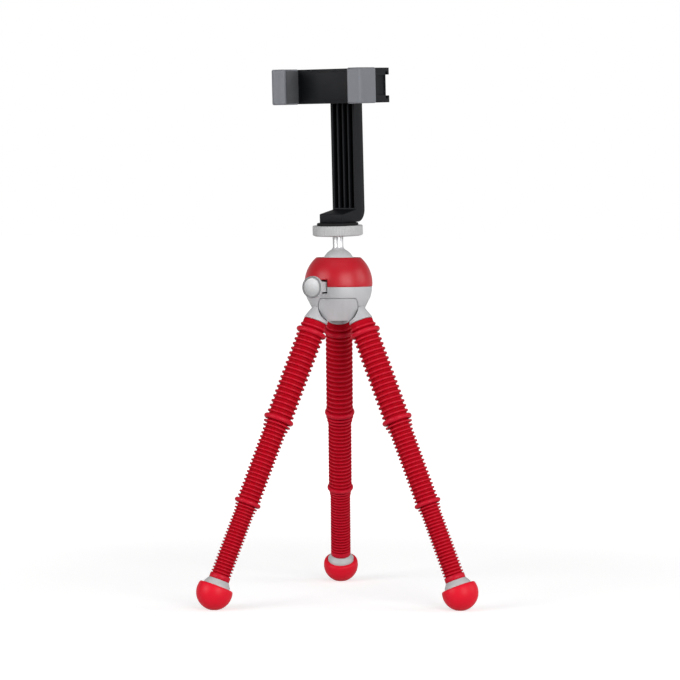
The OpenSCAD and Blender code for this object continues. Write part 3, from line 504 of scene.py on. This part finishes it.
# %% Draw the four outlines
# The small numbers are offsets of soft corners and overlaps, in millimetres
cuff_line = ([(CUFF_IN, CUFF_TOP + 0.4), (CUFF_IN + 0.3, CUFF_TOP), (CUFF_R - 0.35, CUFF_TOP),
              (CUFF_R - 0.1, CUFF_TOP + 0.1), (CUFF_R, CUFF_TOP + 0.35), (CUFF_R, CUFF_TOP + 1.6)]
             + bump_out(**CUFF_RIB, floor=CUFF_R)
             + [(WAIST_R + 0.1, BEAD_TOP - 0.75), (WAIST_R, BEAD_TOP - 0.5), (WAIST_R, BEAD_TOP + 0.3)])
upper_line = ([(WAIST_R - 0.3, BEAD_TOP)]
              + bump_out(**BEAD, floor=floor_of(UPPER), tip_points=BEAD_POINTS)[2:]
              + rib_run(UPPER)
              + collar_end(UPPER, COLLAR_1, MIDDLE))
middle_line = (tucked_start(MIDDLE, COLLAR_1)
               + rib_run(MIDDLE)
               + collar_end(MIDDLE, COLLAR_2, LOWER))
lower_line = (tucked_start(LOWER, COLLAR_2)
              + rib_run(LOWER)
              + [(floor_of(LOWER), BAND_AT - 0.2), (BAND_R - 0.25, BAND_AT), (BAND_R, BAND_AT + 0.25),
                 (BAND_R, BAND_END - 0.25), (BAND_R - 0.25, BAND_END), (BAND_IN, BAND_END)])
print("points:", len(cuff_line), len(upper_line), len(middle_line), len(lower_line))

# %% Spin the cuff and the three skins once
LEG_STEPS = 56
SKINS = {"cuff_skin": (cuff_line, CUFF), "upper_skin": (upper_line, UPPER),
         "middle_skin": (middle_line, MIDDLE), "lower_skin": (lower_line, LOWER)}
masters = {}
for name, (line, skin) in SKINS.items():
    master = on_lathe(name, line, LEG_STEPS)
    places = np.array([v.co for v in master.data.vertices]) / MM
    round_r = np.hypot(places[:, 0], places[:, 1])
    for key, values in {"side": places[:, 0] / round_r,
                        "lift": np.clip((round_r - floor_of(skin)) / skin["depth"], 0, 1)}.items():
        attribute = master.data.attributes.new(key, "FLOAT", "POINT")
        attribute.data.foreach_set("value", values.astype(np.float32))
    smooth(master, degrees=50)
    masters[name] = master
    print(name, len(master.data.polygons), "faces")

# %% [markdown]
# ## Skins on the legs
# In the real leg one rubber skin runs over each joint of the core. A stiff skin would have to be cut there,
# and the cut would gape in a bend. Each skin piece is copied onto the three legs in the leg's own frame and
# takes the ribbed red finish, and the solids that it covers are hidden.

# %% Copy the skins to the three legs
# Body above, body below, joint, start and end of the bend in millimetres down the leg, and solids replaced
BENDS = {"cuff_skin": ("hub", "_upper", "_splay", (-0.7, 4.6), ("cuff",)),
         "upper_skin": ("_upper", "_knee", "_side_bend", (-14, 14), ("sleeve_1", "bend_rib_1")),
         "middle_skin": ("_knee", "_shin", "_mid_bend", (-12, 12), ("sleeve_2", "bend_rib_2")),
         "lower_skin": ("_shin", "_tip", "_tip_bend", (-10, 10), ("sleeve_3", "sleeve_4", "bend_rib_3"))}
for leg in LEGS:
    place = leg_frame(leg)
    for name, (above, below, joint, (start, end), nodes) in BENDS.items():
        piece = copy_to(masters[name], f"{leg}_{name}", place)
        dress(piece, "red_skin")
        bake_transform(piece)
        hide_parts(*[f"{leg}_{n}" for n in nodes])
for master in masters.values():
    bpy.data.objects.remove(master)
print("skins on", len(LEGS), "legs")

# %% [markdown]
# ## Round feet
# A foot is a rubber ball with its top cut off, a soft rim, and a small flat where it stands. A sphere would
# need its rim and pocket cut afterwards, while an outline on the lathe holds them from the start. The flat
# isn't square to the leg, so the ball is spun first and then cut by the floor with Bisect, which also closes
# the cut. The pale cone ring above it is a hard plastic washer with a slightly rounded edge.

# %% Outlines of the foot and of its cone ring
FOOT_R, FOOT_RIM, RIM_SOFT = 11.46, 3.6, 0.5
CONE_H, CONE_R, CONE_GAP, CONE_SEAT, CONE_STRAIGHT = 4.5, 8.5, 0.02, 0.7, 0.35
STUD_R = 3.02
RIM_AT = BAND_END + CONE_H
FOOT_AT = RIM_AT + FOOT_RIM
CONE_TOP, CONE_EDGE, CONE_END = BAND_END + CONE_GAP, RIM_AT - CONE_STRAIGHT * CONE_H, RIM_AT + CONE_SEAT
ARC_STEPS = 24


def foot_outline():
    """From the sole up the ball, over the soft rim, into the ring's pocket and down the stud's hole."""
    line = [(0.0, FOOT_AT + FOOT_R)]
    low, high = math.pi / 2, -math.asin((FOOT_RIM - RIM_SOFT) / FOOT_R)
    for i in range(1, ARC_STEPS + 1):
        angle = low + (high - low) * i / ARC_STEPS
        line.append((FOOT_R * math.cos(angle), FOOT_AT + FOOT_R * math.sin(angle)))
    rim_r = line[-1][0]
    line += [(rim_r - 0.35, RIM_AT - 0.05), (rim_r - 0.9, RIM_AT - 0.3), (CONE_R + 0.3, RIM_AT - 0.35)]
    line += [(CONE_R + 0.05, RIM_AT - 0.15), (CONE_R + CONE_GAP, RIM_AT + 0.75), (STUD_R, RIM_AT + 0.78)]
    return line + [(STUD_R, FOOT_AT), (0.0, FOOT_AT)]


ring_line = [(STUD_R, CONE_TOP), (BAND_R - 0.15, CONE_TOP), (BAND_R + 0.1, BAND_END + 0.2),
             (CONE_R - 0.25, CONE_EDGE - 0.3), (CONE_R, CONE_EDGE), (CONE_R, CONE_END), (STUD_R, CONE_END),
             (STUD_R, CONE_TOP)]
print("foot outline:", len(foot_outline()), "points")

# %% Feet and cone rings
FOOT_STEPS = 72
foot_master = on_lathe("foot", foot_outline(), FOOT_STEPS)
ring_master = on_lathe("foot_ring", ring_line, FOOT_STEPS)
for leg in LEGS:
    place = leg_frame(leg)
    foot = copy_to(foot_master, leg + "_ball_foot", place)
    bpy.ops.object.mode_set(mode="EDIT")
    bpy.ops.mesh.select_all(action="SELECT")
    bpy.ops.mesh.bisect(plane_co=(0, 0, 0), plane_no=(0, 0, 1), use_fill=True, clear_inner=True,
                        threshold=MICRON)
    bpy.ops.object.mode_set(mode="OBJECT")
    ring = copy_to(ring_master, leg + "_cone_ring", place)
    for piece, finish, node in ((foot, "red_rubber", "foot"), (ring, "pale_grey", "foot_ring")):
        smooth(piece, degrees=40)
        dress(piece, finish)
        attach(piece, leg + "_tip")
        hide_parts(f"{leg}_{node}")
for master in (foot_master, ring_master):
    bpy.data.objects.remove(master)

# %% [markdown]
# ## Softened edges on the hard parts
# Moulded and turned parts have no knife edges: every corner has a small radius that catches a thin line of
# light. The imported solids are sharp. Rounding each edge by hand would take long, so each visible solid is
# copied, its loose triangles are merged and its flat faces joined up, and a Bevel modifier rounds whatever
# edge is sharper than a set angle.

# %% Copy, merge and bevel a solid
FLAT_ANGLE, EDGE_ANGLE, EDGE_STEPS = 0.6, 32, 3


def merged_copy(node, name):
    """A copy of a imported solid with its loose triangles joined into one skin."""
    obj = bpy.data.objects.new(name, frame["nodes"][node].data.copy())
    bpy.context.scene.collection.objects.link(obj)
    alone(obj)
    bpy.ops.object.mode_set(mode="EDIT")
    bpy.ops.mesh.select_all(action="SELECT")
    bpy.ops.mesh.remove_doubles(threshold=2 * MICRON)
    bpy.ops.mesh.dissolve_limited(angle_limit=math.radians(FLAT_ANGLE))
    bpy.ops.object.mode_set(mode="OBJECT")
    return obj


def stand_in(obj, node, finish):
    """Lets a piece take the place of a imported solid, on the body of that solid."""
    smooth(obj, degrees=30)
    dress(obj, finish)
    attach(obj, frame["nodes"][node]["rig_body"])
    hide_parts(node)


def soften(node, finish, width, slot=None):
    """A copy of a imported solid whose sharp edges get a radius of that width, in millimetres."""
    obj = merged_copy(node, "soft_" + node)
    bevel = obj.modifiers.new("edge", "BEVEL")
    bevel.width = width * MM
    bevel.segments = EDGE_STEPS
    bevel.limit_method = "ANGLE"
    bevel.angle_limit = math.radians(EDGE_ANGLE)
    bevel.use_clamp_overlap = True
    bpy.ops.object.modifier_apply(modifier="edge")
    stand_in(obj, node, finish)
    return obj


print("edges sharper than", EDGE_ANGLE, "degrees get a radius")

# %% Soften the hub, the head and the phone holder
# Finish, width of the soft edge in millimetres, and the slot where its name isn't the finish's
SOFT_EDGES = {
    "leg_yoke": ("hub_grey", 0.25),
    "hub_panels": ("hub_grey", 0.25),
    "ball_cup": ("hub_grey", 0.25),
    "dome": ("red_shell", 0.5),
    "retaining_ring": ("pale_grey", 0.2),
    "lock_knob": ("hub_grey", 0.15),
    "lock_screw": ("satin_metal", 0.3),
    "camera_wheel": ("turned_grey", 0.08, "pale_grey"),
    "wheel_pad": ("black_rubber", 0.2),
    "bracket": ("black_plastic", 0.4),
    "clamp_body": ("black_plastic", 0.4),
    "sliding_jaw": ("black_plastic", 0.4),
    "clamp_pivot": ("bright_steel", 0.2),
    "ball_stud": ("bright_steel", 0.1),
}
for node, settings in SOFT_EDGES.items():
    piece = soften(node, *settings)
    print(node, len(piece.data.polygons), "faces")

# %% [markdown]
# ## Jaw pads and their liners
# The pads are rubber caps pushed over the jaws, well rounded above and below, with a sharp pocket inside. A
# Bevel modifier would round the pocket too, so the outer rims alone are picked by height and place, and
# rounded with Bevel in edit mode. The head leans, so a copy of each pad is first turned upright and at the
# end turned back. A thin dark liner, a cube flattened and rounded, grips the phone on each inner face.

# %% Pick and round the rims of a pad
PAD_WALL, PAD_LIP, PAD_ROUND, PAD_STEPS = 1.6, 1.2, 1.1, 5
NEAR_SHARE = 0.6
NEAR = PAD_WALL * NEAR_SHARE * MM
AT_RIM = 10 * MICRON


def outer_rim(a, b, low, high, inner_side):
    """True for an edge from a to b on a pad's top or bottom rim, outside its pocket."""
    centre = (a + b) / 2
    level = abs(a.z - b.z) < MICRON and min(centre.z - low.z, high.z - centre.z) < AT_RIM
    gap = (high.x - centre.x) if inner_side > 0 else (centre.x - low.x)
    back = (centre.x - low.x) if inner_side > 0 else (high.x - centre.x)
    outside = gap < NEAR + PAD_LIP * MM or back < NEAR or centre.y - low.y < NEAR
    return level and outside and high.y - centre.y > AT_RIM


def round_rims(pad, low, high, inner_side):
    bpy.ops.object.mode_set(mode="EDIT")
    bpy.ops.mesh.select_all(action="DESELECT")
    bpy.ops.mesh.select_mode(type="EDGE")
    bpy.ops.object.mode_set(mode="OBJECT")
    for edge in pad.data.edges:
        edge.select = outer_rim(*[pad.data.vertices[i].co for i in edge.vertices], low, high, inner_side)
    bpy.ops.object.mode_set(mode="EDIT")
    bpy.ops.mesh.bevel(offset=PAD_ROUND * MM, segments=PAD_STEPS, affect="EDGES")
    bpy.ops.object.mode_set(mode="OBJECT")


print("rims get a radius of", PAD_ROUND, "mm")

# %% Make a liner
LINER_T, LINER_IN, LINER_SHORT, LINER_BACK = 0.3, 1.0, 5.2, 0.4
LINER_OUT, LINER_EDGE, LINER_STEPS = 0.1, 0.12, 2


def jaw_liner(name, low, high, inner_side):
    """A liner for an upright pad with the corners low and high."""
    inner_x = (high.x if inner_side > 0 else low.x) - inner_side * (PAD_LIP - LINER_OUT) * MM
    size = Vector((LINER_T * MM, high.y - low.y - LINER_SHORT * MM, high.z - low.z - 2 * LINER_IN * MM))
    centre = (inner_x, high.y - LINER_BACK * MM - size.y / 2, (low.z + high.z) / 2)
    bpy.ops.object.select_all(action="DESELECT")
    bpy.ops.mesh.primitive_cube_add(size=1, location=centre)
    liner = bpy.context.object
    liner.name = name
    liner.scale = size
    bpy.ops.object.transform_apply(location=True, rotation=True, scale=True)
    bpy.ops.object.mode_set(mode="EDIT")
    bpy.ops.mesh.bevel(offset=LINER_EDGE * MM, segments=LINER_STEPS, affect="EDGES")
    bpy.ops.object.mode_set(mode="OBJECT")
    return liner


print("liners are", LINER_T, "mm thick")

# %% Pads and liners on both jaws
lean = Matrix.Translation(hub) @ Vector((0, 0, 1)).rotation_difference(head_up).to_matrix().to_4x4()
lean = lean @ Matrix.Translation(-hub)
for node, inner_side in (("sliding_pad", 1), ("fixed_pad", -1)):
    pad = merged_copy(node, "soft_" + node)
    stand_in(pad, node, "grey_rubber")
    turn(pad, lean.inverted())
    corners = [v.co for v in pad.data.vertices]
    low = Vector([min(c[i] for c in corners) for i in range(3)])
    high = Vector([max(c[i] for c in corners) for i in range(3)])
    round_rims(pad, low, high, inner_side)
    liner = jaw_liner(node.replace("pad", "liner"), low, high, inner_side)
    dress(liner, "liner_rubber")
    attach(liner, frame["nodes"][node]["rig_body"])
    for piece in (pad, liner):
        turn(piece, lean)
        smooth(piece, degrees=40)
    print(node, len(pad.data.polygons), "faces, liner", len(liner.data.polygons), "faces")

# %% [markdown]
# ## A bezel round the knob's face
# The lock knob's metal face is framed by a darker ring. It could be cut from the knob's own mesh, but a ring
# of its own keeps a clean edge between the two colours. It is spun on the lathe like the feet, laid on its
# side with its axis along Y, and set on the knob's front.

# %% Spin and place the bezel
FACE_R, BEZEL_R, BEZEL_STEPS = 5.8, 6.85, 64
knob_low, knob_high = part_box("lock_knob")
bezel_line = [(FACE_R, 0.15), (FACE_R, -0.12), (FACE_R + 0.12, -0.25), (BEZEL_R - 0.25, -0.22),
              (BEZEL_R, -0.02), (BEZEL_R + 0.07, 0.3), (BEZEL_R - 0.05, 0.55), (FACE_R + 0.1, 0.5),
              (FACE_R, 0.15)]
bezel = on_lathe("knob_bezel", bezel_line, BEZEL_STEPS)
knob_front = Vector(((knob_low.x + knob_high.x) / 2, knob_low.y, (knob_low.z + knob_high.z) / 2))
turn(bezel, Matrix.Translation(knob_front) @ Matrix.Rotation(math.pi / 2, 4, "X"))
smooth(bezel, degrees=40)
dress(bezel, "bezel_grey")
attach(bezel, frame["nodes"]["lock_knob"]["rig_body"])
print("bezel at y =", round(knob_low.y, 4))

# %% [markdown]
# ## The jaw's spring
# A coil spring closes the jaw. One end is hooked to the clamp and the other to the jaw, so it gets longer as
# the jaw slides. If it rode on one of the two, its other end would come off. The packed spring is copied with
# its triangles merged, shaded smooth and given bright steel, and the solid is hidden.

# %% Copy the spring and hide the solid
spring = merged_copy("jaw_spring", "drawn_spring")
smooth(spring, degrees=60)
dress(spring, "bright_steel")
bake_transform(spring)
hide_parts("jaw_spring")

# %% [markdown]
# ## Solids that stay as they are
# The links inside the legs and the seat under the ball are covered by other pieces. New meshes for them
# would add faces that nobody sees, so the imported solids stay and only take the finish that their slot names.

# %% Finishes for the solids that stay
for node, solid in frame["nodes"].items():
    if not solid.hide_render:
        slot = next(p["material_slot"] for p in frame["record"]["subparts"] if p["node"] == node)
        solid.data.materials.clear()
        solid.data.materials.append(finishes[slot])
print("solids shown as packed:", sum(not n.hide_render for n in frame["nodes"].values()))

# %% [markdown]
# ## A white floor
# The picture is high key: the tripod stands on a white sweep with only faint shadows under its feet. A floor
# lit to full white would throw much of that light back at the tripod. Here the floor is a pale matt surface,
# which keeps the shadows, with a glow that only the camera and, more weakly, reflections see. The glow grows
# with the distance, so that the floor runs into the white behind it.

# %% The floor
WHITE = (1, 1, 1, 1)
FLOOR_SIZE, FLOOR_GREY = 30, (0.62, 0.62, 0.62, 1)
GLOW, GLOW_RISE, GLOW_MIRRORED = 0.61, 0.41, 0.4
GLOW_FROM, GLOW_FULL = 0.2, 0.8
bpy.ops.object.select_all(action="DESELECT")
bpy.ops.mesh.primitive_plane_add(size=FLOOR_SIZE, location=(0, 0, 0))
floor = bpy.context.object
floor.name = "studio_floor"
sweep = bpy.data.materials.new("white sweep")
sweep.use_nodes = True
sweep.node_tree.nodes.clear()
tree = Wire(sweep.node_tree, None)
straight = tree.add("ShaderNodeLightPath", out="Is Camera Ray")
seen = straight + tree.add("ShaderNodeLightPath", out="Is Glossy Ray") * GLOW_MIRRORED
place = tree.add("ShaderNodeTexCoord", out="Object")
distance = tree.add("ShaderNodeVectorMath", {"operation": "LENGTH"}, {0: place}, out="Value")
far = distance.step(GLOW_FROM, GLOW_FULL)
matt = tree.add("ShaderNodeBsdfDiffuse", None, {"Color": FLOOR_GREY})
glow = tree.add("ShaderNodeEmission", None, {"Color": WHITE, "Strength": seen * (GLOW + far * GLOW_RISE)})
both = tree.add("ShaderNodeAddShader", None, {0: matt, 1: glow})
tree.add("ShaderNodeOutputMaterial", None, {"Surface": both})
floor.data.materials.append(sweep)
print("floor of", FLOOR_SIZE, "m")

# %% [markdown]
# ## A white world
# Behind the floor there is nothing but white. A world of one flat white would light the tripod evenly from
# all sides and take its form away. This one is white where the camera looks straight at it, dim grey as a
# light, so that the shading keeps its depth, and in between in reflections, which fall off towards the top
# and the sides.

# %% The world
AMBIENT, MIRRORED, TOP_LOSS, SIDE_LOSS = 0.16, 0.8, 0.65, 0.25
VIEW_AZIMUTH = math.radians(31.06)
toward = Vector((-math.sin(VIEW_AZIMUTH), math.cos(VIEW_AZIMUTH), 0))
right = Vector((math.cos(VIEW_AZIMUTH), math.sin(VIEW_AZIMUTH), 0))
world = bpy.data.worlds.new("white studio")
world.use_nodes = True
bpy.context.scene.world = world
world.node_tree.nodes.clear()
tree = Wire(world.node_tree, None)
straight = tree.add("ShaderNodeLightPath", out="Is Camera Ray")
glossy = tree.add("ShaderNodeLightPath", out="Is Glossy Ray")
through = tree.add("ShaderNodeLightPath", out="Is Transmission Ray")
ray = tree.add("ShaderNodeTexCoord", out="Generated")
height = tree.add("ShaderNodeSeparateXYZ", None, {"Vector": ray}, out="Z")
across = tree.add("ShaderNodeVectorMath", {"operation": "DOT_PRODUCT"}, {0: ray, 1: right}, out="Value")
top = 1 - height.step(0.0, 0.45) * TOP_LOSS
sides = 1 - abs(across).step(0.6, 0.95) * SIDE_LOSS
plain = tree.math("MAXIMUM", straight, through)
strength = AMBIENT + plain * (1 - AMBIENT) + glossy * (MIRRORED * top * sides - AMBIENT)
sky = tree.add("ShaderNodeBackground", None, {"Color": WHITE, "Strength": strength})
tree.add("ShaderNodeOutputWorld", None, {"Surface": sky})
print("world is", AMBIENT, "as a light")

# %% [markdown]
# ## Lamps like windows
# Large lamps give soft shadows and broad highlights, as windows do. Small ones would cast hard shadows.
# Three stand round the front and the sides, and a weak one hangs overhead. Each is placed by its angle from
# the camera, because that angle decides where its highlight falls.

# %% Lamps
AIM_HEIGHT = 0.19
aim = Vector((hub.x, 0, AIM_HEIGHT))


def window(name, azimuth, rise, distance, size, power):
    """A square lamp that faces the tripod: degrees to the right of the camera, degrees up, metres away."""
    aside, up = math.radians(azimuth), math.radians(rise)
    level = right * math.sin(aside) - toward * math.cos(aside)
    lamp = bpy.data.lights.new(name, "AREA")
    lamp.shape = "SQUARE"
    lamp.size = size
    lamp.energy = power
    obj = bpy.data.objects.new(name, lamp)
    bpy.context.scene.collection.objects.link(obj)
    obj.location = aim + (level * math.cos(up) + Vector((0, 0, math.sin(up)))) * distance
    obj.rotation_euler = (aim - obj.location).to_track_quat("-Z", "Y").to_euler()


window("left window", -56, 17, distance=1.6, size=0.9, power=12.8)
window("front window", 27, 13, distance=1.6, size=1.0, power=16.2)
window("right window", 84, 17, distance=1.6, size=0.9, power=6.5)
window("ceiling", 0, 78, distance=1.4, size=1.2, power=2.5)
print("lamps:", len(bpy.data.lights))

# %% [markdown]
# ## The camera
# The picture has the flat look of a long lens from some way off, about level with the phone holder and
# looking slightly down. A camera close by with a short lens would make the near feet too large. The place,
# the angles and the focal length in pixels were fitted to points in the picture, and the lens in millimetres
# follows from that length and the picture's width.

# %% Camera
DISTANCE, EYE_HEIGHT = 1.75, 0.254
TILT, YAW = math.radians(2.858), math.radians(0.0316)
SENSOR, FOCAL_PIXELS, PICTURE_PIXELS = 36, 2745.75, 680
eye = Vector((hub.x, 0, EYE_HEIGHT)) - toward * DISTANCE
look = (toward * math.cos(TILT) - Vector((0, 0, math.sin(TILT)))) + right * math.tan(YAW)
camera = bpy.data.cameras.new("camera")
camera.sensor_width = SENSOR
camera.lens = SENSOR * FOCAL_PIXELS / PICTURE_PIXELS
shot = bpy.data.objects.new("camera", camera)
bpy.context.scene.collection.objects.link(shot)
shot.location = eye
shot.rotation_euler = look.to_track_quat("-Z", "Y").to_euler()
bpy.context.scene.camera = shot
bpy.context.scene.view_settings.view_transform = "Standard"
print("camera at", [round(v, 3) for v in eye])

# %% [markdown]

# %% End
print("scene dressed")
